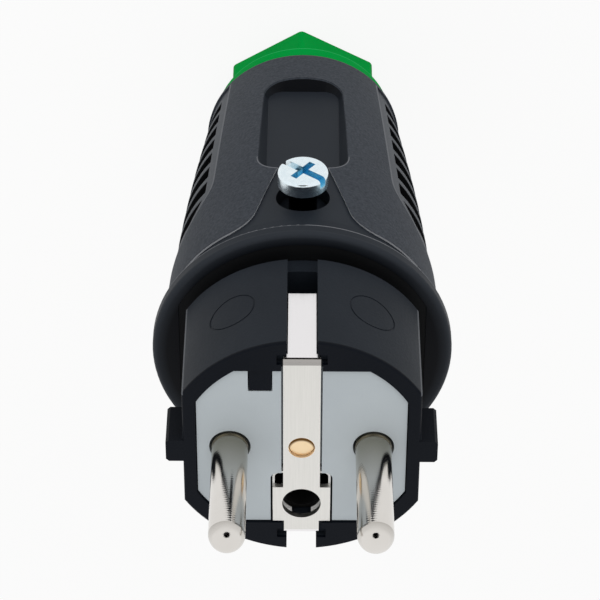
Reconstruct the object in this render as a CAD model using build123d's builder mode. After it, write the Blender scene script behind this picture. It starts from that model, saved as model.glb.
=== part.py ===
from build123d import *
import os

# Two-pole plug with earth, for a free cable. It stands on its gland nut with the pins up:
# the plug's axis is Z, the body screw faces -Y and the nut's rear face lies at Z = 0.

# Gland nut: hexagon, round collar and a hollow spigot that screws into the housing
nut_across_flats = 21.4
nut_hex_height = 6.5
nut_turn = 1.5
nut_collar_overhang = 2.7
nut_collar_height = 3.3
nut_edge = 0.6
nut_corner = 0.9
cable_bore_radius = 7.0
spigot_radius = 10.9
spigot_length = 8.0
seat_depth = 1.8
seat_mouth_wall = 0.7

# Clamp cage and rubber sleeve inside the gland
gland_room = 8.2
cage_wall = 1.7
cage_tip_wall = 0.4
cage_shoulder = 0.9
cage_slots = 8
cage_slot_width = 1.2
cage_slot_length = 5.5
cable_room = 0.15

# Housing: tapered body of revolution with a flange at the front
housing_length = 53.05
jacket_wall = 0.9
front_taper = 1.7
rear_taper = 3.2
rear_rounding = 1.0
flange_overhang = 1.45
flange_thickness = 2.3
flange_front_rounding = 0.8
flange_rear_rounding = 0.3
neck_width = 3.35
jacket_step = 0.3
cable_hole_room = 0.6
gland_web = 3.0
wire_room_radius = 12.0
cavity_depth = 15.55
mouth_depth = 1.6
mouth_room = 0.5
mouth_side_room = 1.2

# Smooth bell-shaped field round the screw, where the jacket is cut away
bell_length = 13.2
bell_rear_width = 7.0
bell_front_width = 14.6
bell_corner = 4.0

# Label recess on the screw side: a flat floor and sloping walls
label_length = 23.4
label_width = 10.3
label_corner = 2.4
label_front_gap = 14.5
label_front_depth = 3.2
label_rear_depth = 1.85
label_draft = 30.0

# Side grips: a sunk field with cross slots on each flank
grip_rear_margin = 1.6
grip_rear_x = 11.1
grip_front_x = 12.9
grip_straight_length = 31.1
grip_flare_length = 9.0
grip_flare_x = 19.5
grip_bend = 8.0
grip_depth = 0.35
grip_border = 1.0
slot_count = 8
slot_pitch = 4.1
slot_width = 2.9
slot_depth = 1.9
first_slot = 5.1

# Nose: round with two flats, standing off the flange by a dark groove
root_gap = 2.35
nose_length = 17.4
nose_shoulder = 2.0
flat_cut = 2.6
nose_edge = 0.3
lug_stand = 2.3
lug_thickness = 3.6
lug_length = 6.8
lug_offset = 0.45
lug_edge = 0.4
mark_offset = 9.2
mark_setback = 9.2
mark_radius = 3.0
mark_line = 0.2
mark_depth = 0.1
neck_step = 0.7
skirt_wall = 2.1
chamber_depth = 18.0
boss_width = 9.0
boss_depth = 5.0
boss_height = 9.0
driver_hole_radius = 2.2

# Face plate in the nose
plate_sink = 0.4
plate_thickness = 2.6
rim_width = 2.4
side_rim_width = 1.85
end_rim_width = 5.05
pin_window_radius = 2.75
key_offset = 5.45
key_width = 2.9
key_depth = 3.6
window_rise = 5.3
window_half_width = 4.15
window_corner = 1.0

# Pins and their terminal pillars
pin_spacing = 19.0
pin_radius = 2.4
pin_reach = 18.8
pin_groove_depth = 0.2
pin_groove_width = 0.5
pillar_radius = 3.7
pillar_room = 0.85
pillar_length = 15.5
wire_hole_radius = 1.8
wire_hole_depth = 10.0
clamp_height = 4.6
clamp_screw_radius = 1.7
clamp_screw_length = 2.6
clamp_slot_width = 0.7
clamp_slot_depth = 0.9
guard_sink = 0.25
guard_width = 1.5
guard_thickness = 0.3
guard_length = 7.0
guard_setback = 0.5

# Earth strip, its rivet and the socket behind its foot
strip_proud = 0.2
strip_thickness = 0.8
strip_width = 4.9
strip_inset = 2.8
foot_rise = 2.9
foot_room = 0.05
foot_width = 7.7
tail_width = 4.7
leg_width = 3.7
leg_length = 13.3
leg_tab = 1.6
bend_rounding = 0.6
groove_width = 4.0
pit_depth = 4.0
bend_room = 0.6
relief_width = 6.6
relief_height = 1.6
relief_depth = 1.2
rivet_radius = 1.65
rivet_sink = 0.4
rivet_shank_radius = 1.2
rivet_length = 6.0
earth_offset = 10.0
earth_hole_radius = 2.6
socket_half_width = 3.9
socket_wall = 0.3
socket_bore_radius = 2.45
socket_setback = 1.6
funnel_step = 0.2
funnel_flare = 0.1
funnel_slit = 2.6
socket_rise = 5.05
socket_drop = 2.9
earth_pillar_radius = 3.5
earth_pillar_offset = 9.4
earth_flange_radius = 4.5
earth_flange_thickness = 1.0

# Body screw, loosened so that its head stands proud, and its bush
screw_setback = 31.0
screw_hole_radius = 3.7
screw_head_radius = 3.45
screw_head_height = 2.2
screw_proud = 3.8
screw_head_rounding = 0.5
screw_radius = 1.95
screw_length = 11.8
screw_slot_width = 1.1
screw_slot_depth = 1.3
screw_turn = 142.0
cross_length = 4.2
cross_width = 1.0
cross_depth = 1.7
bush_radius = 3.0
bush_length = 5.6

# Clearances
thread_room = 0.1
slide_room = 0.15
channel_room = 0.25
channel_groove = 1.4
seat_room = 0.1
contact_room = 0.05

# Radii and half widths, from the pins outwards
chamber_radius = pin_spacing / 2 + pillar_radius + pillar_room
skirt_radius = chamber_radius + skirt_wall
cavity_radius = skirt_radius + slide_room
nose_radius = cavity_radius + nose_shoulder
nose_flat = nose_radius - flat_cut
lug_reach = nose_flat + lug_stand
neck_flat = nose_flat - neck_step
mouth_flat = nose_flat + mouth_side_room
plate_radius = nose_radius - rim_width
plate_half_width = nose_flat - side_rim_width
plate_half_height = nose_radius - end_rim_width
front_radius = nose_radius + jacket_wall
waist_radius = front_radius - front_taper
rear_radius = waist_radius - rear_taper
flange_radius = front_radius + flange_overhang
screw_head_top = front_radius + screw_proud
strip_reach = nose_radius - strip_inset
groove_floor = strip_reach - strip_thickness - contact_room
foot_top = earth_offset - foot_rise
foot_bottom = plate_half_height - foot_room
window_top = earth_offset - window_rise
socket_top = earth_offset - socket_rise
socket_bottom = earth_offset + socket_drop

# Heights above the nut's rear face
z_nut_top = nut_hex_height + nut_collar_height
z_spigot_top = z_nut_top + spigot_length
z_ledge = z_spigot_top - seat_depth
z_gland_top = z_spigot_top + gland_room
z_rear = z_nut_top
z_flange_front = z_rear + housing_length
z_flange_rear = z_flange_front - flange_thickness
z_jacket_front = z_flange_rear - neck_width
z_mouth_floor = z_flange_front - mouth_depth
z_cavity_floor = z_mouth_floor - cavity_depth
z_root = z_flange_front + root_gap
z_rim = z_root + nose_length
z_plate = z_rim - plate_sink
z_plate_back = z_plate - plate_thickness
z_strip = z_plate + strip_proud
z_strip_back = z_strip - strip_thickness
z_insert_rear = z_cavity_floor + seat_room
z_deck = z_insert_rear + chamber_depth
z_screw = z_rim - screw_setback
z_pillar = z_deck - pillar_length
z_clamp = z_pillar + clamp_height
z_leg_end = z_strip - leg_length
z_pit_front = z_leg_end + strip_thickness + contact_room

os.makedirs("parts", exist_ok=True)


def keep(piece, name):
    """Name a finished piece and write it."""
    piece.part.label = name
    export_step(piece.part, "parts/" + name + ".step")


# Gland nut: turned section, with the hexagon at the rear
nut_collar_radius = nut_across_flats / 2 + nut_collar_overhang
seat_mouth_radius = spigot_radius - seat_mouth_wall
thread_bore_radius = spigot_radius + thread_room
cage_radius = thread_bore_radius - slide_room
cage_bore_radius = cage_radius - cage_wall
seat_ledge_radius = cage_bore_radius + cage_tip_wall + contact_room

with BuildPart() as gland_nut:
    with BuildSketch(Plane.XY) as hexagon:
        RegularPolygon(nut_across_flats / 2, 6, major_radius=False, rotation=30 + nut_turn)
    extrude(amount=nut_hex_height)
    fillet(gland_nut.edges().filter_by(Axis.Z), nut_corner)
    chamfer(gland_nut.faces().sort_by(Axis.Z)[0].edges(), nut_edge)
    with BuildSketch(Plane.XY.offset(nut_hex_height)) as collar:
        Circle(nut_collar_radius)
    extrude(amount=nut_collar_height)
    collar_rims = gland_nut.edges().filter_by(GeomType.CIRCLE).group_by(SortBy.RADIUS)[-1]
    chamfer(collar_rims.sort_by(Axis.Z)[0], nut_edge)
    with BuildSketch(Plane.XY.offset(z_nut_top)) as spigot:
        Circle(spigot_radius)
    extrude(amount=spigot_length)
    with BuildSketch(Plane.XZ) as passage:
        with BuildLine():
            Polyline(
                (0, 0),
                (cable_bore_radius, 0),
                (cable_bore_radius, z_ledge),
                (seat_ledge_radius, z_ledge),
                (seat_mouth_radius, z_spigot_top),
                (0, z_spigot_top),
                close=True,
            )
        make_face()
    revolve(axis=Axis.Z, mode=Mode.SUBTRACT)
keep(gland_nut, "gland_nut")

# Clamp cage: slotted sleeve whose tips sit in the nut's conical seat
z_cage_tip = z_ledge + contact_room
z_cage_top = z_gland_top - contact_room

with BuildPart() as clamp_cage:
    with BuildSketch(Plane.XZ) as cage_wall_section:
        with BuildLine():
            Polyline(
                (cage_bore_radius, z_cage_tip),
                (seat_ledge_radius - contact_room, z_cage_tip),
                (seat_mouth_radius - contact_room, z_spigot_top),
                (cage_radius, z_spigot_top + cage_shoulder),
                (cage_radius, z_cage_top),
                (cage_bore_radius, z_cage_top),
                close=True,
            )
        make_face()
    revolve(axis=Axis.Z)
    with BuildSketch(Plane.XY.offset(z_cage_tip)) as finger_gaps:
        with PolarLocations(cage_radius, cage_slots):
            Rectangle(2 * cage_wall + cage_radius, cage_slot_width)
        Circle(cage_bore_radius / 2, mode=Mode.SUBTRACT)
    extrude(amount=cage_slot_length, mode=Mode.SUBTRACT)
keep(clamp_cage, "clamp_cage")

# Rubber sleeve that closes on the cable
with BuildPart() as gland_seal:
    with BuildSketch(Plane.XY.offset(z_cage_tip)) as seal_ring:
        Circle(cage_bore_radius - contact_room)
        Circle(cable_bore_radius + cable_room, mode=Mode.SUBTRACT)
    extrude(amount=z_cage_top - z_cage_tip)
keep(gland_seal, "gland_seal")


def jacket_section(inset):
    """Half section of the tapered body, drawn inset from the jacket's surface."""
    z_middle = (z_rear + z_jacket_front) / 2
    with BuildSketch(Plane.XZ) as section:
        with BuildLine():
            Polyline(
                (rear_radius - inset, z_rear),
                (0, z_rear),
                (0, z_jacket_front),
                (front_radius - inset, z_jacket_front),
            )
            ThreePointArc(
                (front_radius - inset, z_jacket_front),
                (waist_radius - inset, z_middle),
                (rear_radius - inset, z_rear),
            )
        make_face()
    return section.sketch


# Outline of the smooth field, seen from the screw side, open to the neck at the front
z_bell_rear = z_jacket_front - bell_length

with BuildSketch(Plane.XZ) as bell_outline:
    with BuildLine():
        Polyline(
            (-bell_rear_width / 2, z_bell_rear),
            (bell_rear_width / 2, z_bell_rear),
            (bell_front_width / 2, z_jacket_front),
            (front_radius, z_jacket_front),
            (front_radius, z_flange_rear),
            (-front_radius, z_flange_rear),
            (-front_radius, z_jacket_front),
            (-bell_front_width / 2, z_jacket_front),
            close=True,
        )
    make_face()
    flare = bell_outline.vertices().filter_by_position(Axis.X, -bell_front_width, bell_front_width)
    fillet(flare.group_by(Axis.Y)[1], bell_corner)

with BuildPart() as bell_floor:
    extrude(bell_outline.sketch, amount=flange_radius)
    revolve(jacket_section(jacket_step), axis=Axis.Z, mode=Mode.INTERSECT)

# Outline of the right grip field, seen from the screw side
z_grip_rear = z_rear + grip_rear_margin
z_grip_bend = z_grip_rear + grip_straight_length
z_grip_front = z_grip_bend + grip_flare_length
grip_outer_x = flange_radius + grip_flare_x - grip_front_x

with BuildSketch(Plane.XZ) as grip_outline:
    with BuildLine():
        Polyline(
            (grip_rear_x, z_grip_rear),
            (grip_front_x, z_grip_bend),
            (grip_flare_x, z_grip_front),
            (grip_outer_x, z_grip_front),
            (grip_outer_x, z_grip_rear),
            close=True,
        )
    make_face()
    fillet(grip_outline.vertices().group_by(Axis.Y)[1], grip_bend)

with BuildPart() as grip_fields:
    extrude(grip_outline.sketch, amount=flange_radius, both=True)
    mirror(about=Plane.YZ)
    revolve(jacket_section(grip_depth), axis=Axis.Z, mode=Mode.SUBTRACT)

slot_heights = [z_rear + first_slot + slot_pitch * step for step in range(slot_count)]

with BuildSketch(Plane.XZ) as slot_outline:
    with Locations(*[(0, height) for height in slot_heights]):
        Rectangle(2 * grip_outer_x, slot_width)
    inner_field = offset(grip_outline.sketch_local, amount=-grip_border, mode=Mode.PRIVATE)
    add(inner_field, mode=Mode.INTERSECT)

with BuildPart() as grip_slots:
    extrude(slot_outline.sketch, amount=flange_radius, both=True)
    mirror(about=Plane.YZ)
    revolve(jacket_section(grip_depth + slot_depth), axis=Axis.Z, mode=Mode.SUBTRACT)


def nose_outline(radius, flat, height):
    """Circle with two flats, drawn across the plug's axis at a height."""
    with BuildSketch(Plane.XY.offset(height)) as outline:
        Circle(radius)
        Rectangle(2 * flat, 2 * radius, mode=Mode.INTERSECT)
    return outline.sketch


# Label recess: its floor runs parallel to the taper between its two ends
z_label_front = z_jacket_front - label_front_gap
z_label_rear = z_label_front - label_length
half_length = (z_jacket_front - z_rear) / 2
taper_front = front_radius - (front_radius - waist_radius) * label_front_gap / half_length
taper_rear = rear_radius + (waist_radius - rear_radius) * (z_label_rear - z_rear) / half_length
label_floor = Plane(
    origin=(0, label_rear_depth - taper_rear, z_label_rear),
    x_dir=(1, 0, 0),
    z_dir=(0, -label_length, taper_rear - label_rear_depth - taper_front + label_front_depth),
)

# Housing
with BuildPart() as housing:
    revolve(jacket_section(0), axis=Axis.Z)
    fillet(housing.edges().group_by(Axis.Z)[0], rear_rounding)
    extrude(bell_outline.sketch, amount=flange_radius, mode=Mode.SUBTRACT)
    add(bell_floor.part)
    with BuildSketch(Plane.XY.offset(z_jacket_front)) as neck:
        Circle(front_radius - jacket_step)
    extrude(amount=neck_width)
    with BuildSketch(Plane.XZ) as flange:
        with Locations((flange_radius / 2, z_flange_rear + flange_thickness / 2)):
            Rectangle(flange_radius, flange_thickness)
        fillet(flange.vertices().group_by(Axis.X)[-1].sort_by(Axis.Y)[-1], flange_front_rounding)
        fillet(flange.vertices().group_by(Axis.X)[-1].sort_by(Axis.Y)[0], flange_rear_rounding)
    revolve(axis=Axis.Z)
    add(grip_fields.part, mode=Mode.SUBTRACT)
    add(grip_slots.part, mode=Mode.SUBTRACT)
    with BuildSketch(label_floor) as label:
        with Locations((0, label_length / 2)):
            RectangleRounded(label_width, label_length, label_corner)
    extrude(amount=flange_radius, taper=-label_draft, mode=Mode.SUBTRACT)
    with BuildSketch(Plane.XZ) as screw_hole:
        with Locations((0, z_screw)):
            Circle(screw_hole_radius)
    extrude(amount=flange_radius, mode=Mode.SUBTRACT)
    with BuildSketch(Plane.XZ) as hollow:
        with BuildLine():
            Polyline(
                (0, z_rear),
                (thread_bore_radius, z_rear),
                (thread_bore_radius, z_gland_top),
                (cable_bore_radius + cable_hole_room, z_gland_top),
                (cable_bore_radius + cable_hole_room, z_gland_top + gland_web),
                (wire_room_radius, z_gland_top + gland_web),
                (wire_room_radius, z_cavity_floor),
                (cavity_radius, z_cavity_floor),
                (cavity_radius, z_mouth_floor),
                (0, z_mouth_floor),
                close=True,
            )
        make_face()
    revolve(axis=Axis.Z, mode=Mode.SUBTRACT)
    extrude(
        nose_outline(nose_radius + mouth_room, mouth_flat, z_mouth_floor),
        amount=mouth_depth,
        mode=Mode.SUBTRACT,
    )
keep(housing, "housing")

# Flat gasket round the insert, lying in the mouth of the flange
with BuildPart() as insert_seal:
    extrude(
        nose_outline(nose_radius + mouth_room - contact_room, mouth_flat - contact_room, z_mouth_floor),
        amount=mouth_depth - contact_room,
    )
    extrude(
        nose_outline(skirt_radius + contact_room, neck_flat + contact_room, z_mouth_floor),
        amount=mouth_depth,
        mode=Mode.SUBTRACT,
    )
keep(insert_seal, "insert_seal")


def plate_outline(room, height):
    """Outline of the face plate, grown by a clearance, at a height."""
    with BuildSketch(Plane.XY.offset(height)) as outline:
        Circle(plate_radius + room)
        Rectangle(
            2 * (plate_half_width + room),
            2 * (plate_half_height + room),
            mode=Mode.INTERSECT,
        )
    return outline.sketch


# Round mould marks beside the earth groove, thin lines sunk into the nose
with BuildPart() as nose_marks:
    with BuildSketch(Plane.XZ) as mark_rings:
        with Locations((-mark_offset, z_rim - mark_setback), (mark_offset, z_rim - mark_setback)):
            Circle(mark_radius)
            Circle(mark_radius - mark_line, mode=Mode.SUBTRACT)
    extrude(amount=nose_radius)
    with BuildSketch(Plane.XY.offset(z_root)) as nose_core:
        Circle(nose_radius - mark_depth)
    extrude(amount=nose_length, mode=Mode.SUBTRACT)

key_centre = plate_half_height + slide_room - key_depth / 2
socket_length = z_strip_back - z_deck - 2 * contact_room
socket_middle = (socket_top + socket_bottom) / 2
boss_floor = chamber_radius - boss_depth
tab_pit = groove_floor - strip_reach + leg_tab + slide_room
notch_reach = strip_reach + bend_room
pin_places = [(-pin_spacing / 2, 0), (pin_spacing / 2, 0)]

# Insert: the nose in front, a skirt behind that slides into the housing
with BuildPart() as insert_body:
    extrude(nose_outline(nose_radius, nose_flat, z_root), amount=nose_length)
    fillet(insert_body.faces().sort_by(Axis.Z)[-1].edges(), nose_edge)
    with BuildSketch(Plane.XY.offset(z_rim - lug_length)) as lugs:
        with Locations((0, lug_offset)):
            Rectangle(2 * lug_reach, lug_thickness)
    extrude(amount=lug_length)
    lug_corners = insert_body.edges().filter_by(Axis.Z)
    chamfer(lug_corners.group_by(Axis.X)[0] + lug_corners.group_by(Axis.X)[-1], lug_edge)
    extrude(nose_outline(skirt_radius, neck_flat, z_insert_rear), amount=z_root - z_insert_rear)
    with BuildSketch(Plane.XY.offset(z_insert_rear)) as chamber:
        Circle(chamber_radius)
    extrude(amount=chamber_depth, mode=Mode.SUBTRACT)
    with BuildSketch(Plane.XZ.offset(boss_floor)) as boss:
        with Locations((0, z_screw)):
            Rectangle(boss_width, boss_height)
    extrude(amount=boss_depth)
    with BuildSketch(Plane.XZ.offset(boss_floor)) as bush_hole:
        with Locations((0, z_screw)):
            Circle(bush_radius + contact_room)
    extrude(amount=bush_length, mode=Mode.SUBTRACT)
    with BuildSketch(Plane.XZ.offset(boss_floor)) as shank_hole:
        with Locations((0, z_screw)):
            Circle(screw_radius + slide_room)
    extrude(amount=boss_depth + nose_radius, mode=Mode.SUBTRACT)
    extrude(plate_outline(slide_room, z_plate_back), amount=z_rim - z_plate_back, mode=Mode.SUBTRACT)
    with BuildSketch(Plane.XY.offset(z_plate_back)) as key:
        with Locations((key_offset, -key_centre)):
            Rectangle(key_width, key_depth)
    extrude(amount=plate_thickness)
    with BuildSketch(Plane.XY.offset(z_deck)) as deck_openings:
        with Locations(*pin_places):
            Circle(pin_radius + slide_room)
        with Locations((0, socket_middle)):
            RectangleRounded(
                2 * (socket_half_width + seat_room),
                socket_bottom - socket_top + 2 * seat_room,
                window_corner,
            )
    extrude(amount=z_plate_back - z_deck, mode=Mode.SUBTRACT)
    with BuildSketch(Plane.XY.offset(z_plate_back)) as rivet_hole:
        Circle(rivet_shank_radius + contact_room)
    extrude(amount=-rivet_length, mode=Mode.SUBTRACT)
    for side, pit in ((-1, pit_depth), (1, tab_pit)):
        with BuildSketch(Plane.XY.offset(z_root)) as groove:
            with Locations((0, side * (groove_floor + nose_radius) / 2)):
                Rectangle(groove_width, nose_radius - groove_floor)
        extrude(amount=nose_length, mode=Mode.SUBTRACT)
        with BuildSketch(Plane.XY.offset(z_root)) as groove_pit:
            with Locations((0, side * (groove_floor - pit / 2))):
                Rectangle(groove_width, pit)
        extrude(amount=z_pit_front - z_root, mode=Mode.SUBTRACT)
        with BuildSketch(Plane.XY.offset(z_strip_back)) as bend_notch:
            with Locations((0, side * (plate_half_height + notch_reach) / 2)):
                Rectangle(strip_width + 2 * channel_room, notch_reach - plate_half_height)
        extrude(amount=z_rim - z_strip_back, mode=Mode.SUBTRACT)
        with BuildSketch(Plane.XY.offset(z_rim - relief_depth)) as relief:
            with Locations((0, side * (notch_reach - relief_height / 2))):
                Rectangle(relief_width, relief_height)
        extrude(amount=relief_depth, mode=Mode.SUBTRACT)
    with BuildSketch(Plane.YZ) as side_driver_holes:
        with Locations((0, z_clamp)):
            Circle(driver_hole_radius)
    extrude(amount=nose_radius, both=True, mode=Mode.SUBTRACT)
    with BuildSketch(Plane.XZ) as earth_driver_hole:
        with Locations((0, z_clamp)):
            Circle(driver_hole_radius)
    extrude(amount=-nose_radius, mode=Mode.SUBTRACT)
    add(nose_marks.part, mode=Mode.SUBTRACT)
keep(insert_body, "insert_body")

# Face plate: lies in the nose's rim, with a channel for the strip and a window for the socket
with BuildPart() as face_plate:
    extrude(plate_outline(0, z_plate_back), amount=plate_thickness)
    with BuildSketch(Plane.XY.offset(z_plate_back)) as plate_openings:
        with Locations(*pin_places):
            Circle(pin_window_radius)
        with Locations((key_offset, -key_centre - slide_room)):
            Rectangle(key_width + 2 * slide_room, key_depth + 4 * slide_room)
        with Locations((0, window_top + plate_half_height)):
            RectangleRounded(2 * window_half_width, 2 * plate_half_height, window_corner)
        Circle(rivet_shank_radius + contact_room)
    extrude(amount=plate_thickness, mode=Mode.SUBTRACT)
    with BuildSketch(Plane.XY.offset(z_strip_back)) as channel:
        with Locations((0, (window_top + window_corner - plate_half_height) / 2)):
            Rectangle(strip_width + 2 * channel_room, plate_half_height + window_top + window_corner)
    extrude(amount=plate_thickness, mode=Mode.SUBTRACT)
    with BuildSketch(Plane.XY.offset(z_strip_back)) as channel_sides:
        add(channel.sketch)
        Rectangle(strip_width, 2 * plate_radius, mode=Mode.SUBTRACT)
    extrude(amount=-channel_groove, mode=Mode.SUBTRACT)
keep(face_plate, "face_plate")

guard_face = wire_hole_radius - guard_sink


def terminal_pin(plane):
    """Round-tipped pin with its terminal pillar, on a plane through its axis that faces outwards."""
    place = plane.origin.X
    z_tip = z_rim + pin_reach
    z_groove = z_rim + slide_room
    with BuildPart() as pin:
        with BuildSketch(Plane.XZ) as section:
            with BuildLine():
                Polyline(
                    (place, z_tip),
                    (place, z_pillar),
                    (place + pillar_radius, z_pillar),
                    (place + pillar_radius, z_deck),
                    (place + pin_radius, z_deck),
                    (place + pin_radius, z_groove - pin_groove_width),
                    (place + pin_radius - pin_groove_depth, z_groove - pin_groove_width),
                    (place + pin_radius - pin_groove_depth, z_groove),
                    (place + pin_radius, z_groove),
                    (place + pin_radius, z_tip - pin_radius),
                )
                RadiusArc((place + pin_radius, z_tip - pin_radius), (place, z_tip), -pin_radius)
            make_face()
        revolve(axis=Axis((place, 0, 0), (0, 0, 1)))
        with BuildSketch(Plane.XY.offset(z_pillar)) as wire_hole:
            with Locations((place, 0)):
                Circle(wire_hole_radius)
        extrude(amount=wire_hole_depth, mode=Mode.SUBTRACT)
        with BuildSketch(plane) as clamp_hole:
            with Locations((0, z_clamp)):
                Circle(clamp_screw_radius + contact_room)
        extrude(amount=2 * pillar_radius, mode=Mode.SUBTRACT)
    return pin


def clamp_screw(plane):
    """Headless slotted screw, on a plane through a terminal's axis that faces outwards."""
    with BuildPart() as screw:
        with BuildSketch(plane.offset(guard_face + contact_room)) as shank:
            with Locations((0, z_clamp)):
                Circle(clamp_screw_radius)
        extrude(amount=clamp_screw_length)
        with BuildSketch(plane.offset(guard_face + contact_room + clamp_screw_length)) as slot:
            with Locations((0, z_clamp)):
                Rectangle(2 * clamp_screw_radius, clamp_slot_width)
        extrude(amount=-clamp_slot_depth, mode=Mode.SUBTRACT)
    return screw


def wire_guard(plane):
    """Thin leaf in the wire hole, between the clamp screw's tip and the wire."""
    with BuildPart() as guard:
        with BuildSketch(plane.offset(guard_face)) as leaf:
            with Locations((0, z_pillar + guard_setback + guard_length / 2)):
                RectangleRounded(guard_width, guard_length, guard_width / 4)
        extrude(amount=-guard_thickness)
    return guard


# Terminals: the two pins clamp outwards along X, the earth pillar clamps towards +Y.
# Left and right are as seen facing the pins with the body screw on top.
left_face = Plane(origin=(pin_spacing / 2, 0, 0), x_dir=(0, 1, 0), z_dir=(1, 0, 0))
right_face = Plane(origin=(-pin_spacing / 2, 0, 0), x_dir=(0, -1, 0), z_dir=(-1, 0, 0))
earth_face = Plane(origin=(0, earth_pillar_offset, 0), x_dir=(-1, 0, 0), z_dir=(0, 1, 0))

keep(terminal_pin(left_face), "left_pin")
keep(terminal_pin(right_face), "right_pin")
for side_name, face in (("left", left_face), ("right", right_face), ("earth", earth_face)):
    keep(clamp_screw(face), side_name + "_terminal_screw")
    keep(wire_guard(face), side_name + "_wire_guard")

with BuildPart() as earth_terminal:
    with BuildSketch(Plane.XY.offset(z_pillar)) as earth_pillar:
        with Locations((0, earth_pillar_offset)):
            Circle(earth_pillar_radius)
    extrude(amount=pillar_length)
    with BuildSketch(Plane.XY.offset(z_deck - earth_flange_thickness)) as earth_flange:
        with Locations((0, earth_pillar_offset)):
            Circle(earth_flange_radius)
    extrude(amount=earth_flange_thickness)
    with BuildSketch(Plane.XY.offset(z_pillar)) as earth_wire_hole:
        with Locations((0, earth_pillar_offset)):
            Circle(wire_hole_radius)
    extrude(amount=wire_hole_depth, mode=Mode.SUBTRACT)
    with BuildSketch(earth_face) as earth_clamp_hole:
        with Locations((0, z_clamp)):
            Circle(clamp_screw_radius + contact_room)
    extrude(amount=2 * earth_pillar_radius, mode=Mode.SUBTRACT)
keep(earth_terminal, "earth_terminal")

# Earth socket: folded box with the spring sleeve inside it, which has a slit funnel for a mouth
z_funnel_top = z_deck + contact_room + socket_length - funnel_step
z_funnel = z_deck + contact_room + socket_length - socket_setback

with BuildPart() as earth_socket:
    with BuildSketch(Plane.XY.offset(z_deck + contact_room)) as box:
        with Locations((0, socket_middle)):
            RectangleRounded(2 * socket_half_width, socket_bottom - socket_top, window_corner)
    extrude(amount=socket_length)
    with BuildSketch(Plane.XY.offset(z_deck + contact_room + socket_wall)) as box_inside:
        with Locations((0, socket_middle)):
            RectangleRounded(
                2 * (socket_half_width - socket_wall),
                socket_bottom - socket_top - 2 * socket_wall,
                window_corner - socket_wall,
            )
    extrude(amount=socket_length, mode=Mode.SUBTRACT)
    with BuildSketch(Plane.XY.offset(z_deck + contact_room)) as sleeve:
        with Locations((0, earth_offset)):
            Circle(socket_bore_radius + socket_wall)
    extrude(amount=socket_length - socket_setback)
    with BuildSketch(Plane.XY.offset(z_deck + contact_room + socket_wall)) as sleeve_bore:
        with Locations((0, earth_offset)):
            Circle(socket_bore_radius)
    extrude(amount=socket_length, mode=Mode.SUBTRACT)
    with BuildSketch(Plane.XZ.offset(-earth_offset)) as funnel:
        with BuildLine():
            Polyline(
                (socket_bore_radius, z_funnel - socket_wall),
                (socket_bore_radius, z_funnel),
                (socket_bore_radius + funnel_step, z_funnel),
                (socket_bore_radius + funnel_step + funnel_flare, z_funnel_top),
                (socket_bore_radius + funnel_step + socket_wall, z_funnel_top),
                (socket_bore_radius + socket_wall, z_funnel - socket_wall),
                close=True,
            )
        make_face()
    revolve(axis=Axis((0, earth_offset, 0), (0, 0, 1)))
    with BuildSketch(Plane.XY.offset(z_funnel)) as funnel_slits:
        with Locations((0, earth_offset)):
            Rectangle(funnel_slit, 2 * (socket_drop + socket_wall))
    extrude(amount=socket_setback, mode=Mode.SUBTRACT)
keep(earth_socket, "earth_socket")

# Earth strip: punched flat, then folded back along both sides of the nose
with BuildPart() as earth_strip:
    with BuildSketch(Plane.XY.offset(z_strip_back)) as strip_face:
        with Locations((0, (foot_top - strip_reach) / 2)):
            Rectangle(strip_width, strip_reach + foot_top)
        with Locations((0, (foot_top + foot_bottom) / 2)):
            Rectangle(foot_width, foot_bottom - foot_top)
        with Locations((0, (foot_bottom + strip_reach) / 2)):
            Rectangle(tail_width, strip_reach - foot_bottom)
        Circle(rivet_radius + seat_room, mode=Mode.SUBTRACT)
        with Locations((0, earth_offset)):
            Circle(earth_hole_radius, mode=Mode.SUBTRACT)
    extrude(amount=strip_thickness)
    for side in (-1, 1):
        with BuildSketch(Plane.XY.offset(z_leg_end)) as leg:
            with Locations((0, side * (strip_reach - strip_thickness / 2))):
                Rectangle(leg_width, strip_thickness)
        extrude(amount=leg_length)
        with BuildSketch(Plane.XY.offset(z_leg_end)) as leg_end:
            with Locations((0, side * (strip_reach - leg_tab / 2))):
                Rectangle(leg_width, leg_tab)
        extrude(amount=strip_thickness)
    bend_edges = earth_strip.edges().filter_by(Axis.X).group_by(Axis.Z)[-1].sort_by(Axis.Y)
    fillet([bend_edges[0], bend_edges[-1]], bend_rounding)
keep(earth_strip, "earth_strip")

with BuildPart() as earth_rivet:
    with BuildSketch(Plane.XY.offset(z_strip_back)) as rivet_head:
        Circle(rivet_radius)
    extrude(amount=strip_thickness - rivet_sink)
    with BuildSketch(Plane.XY.offset(z_strip_back)) as rivet_shank:
        Circle(rivet_shank_radius)
    extrude(amount=-rivet_length)
keep(earth_rivet, "earth_rivet")

# Body screw and the bush that it threads into
head_seat = Plane.XZ.offset(screw_head_top - screw_head_height)
head_face = Plane.XZ.offset(screw_head_top)

with BuildPart() as body_screw:
    with BuildSketch(head_seat) as screw_head:
        with Locations((0, z_screw)):
            Circle(screw_head_radius)
    extrude(amount=screw_head_height)
    fillet(body_screw.faces().sort_by(Axis.Y)[0].edges(), screw_head_rounding)
    with BuildSketch(head_face) as screw_slot:
        with Locations((0, z_screw)):
            Rectangle(2 * screw_head_radius, screw_slot_width, rotation=screw_turn)
    extrude(amount=-screw_slot_depth, mode=Mode.SUBTRACT)
    with BuildSketch(head_face) as cross_recess:
        with Locations((0, z_screw)):
            Rectangle(cross_length, cross_width, rotation=screw_turn)
            Rectangle(cross_width, cross_length, rotation=screw_turn)
    extrude(amount=-cross_depth, mode=Mode.SUBTRACT)
    with BuildSketch(head_seat) as screw_shank:
        with Locations((0, z_screw)):
            Circle(screw_radius)
    extrude(amount=-screw_length)
keep(body_screw, "body_screw")

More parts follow.
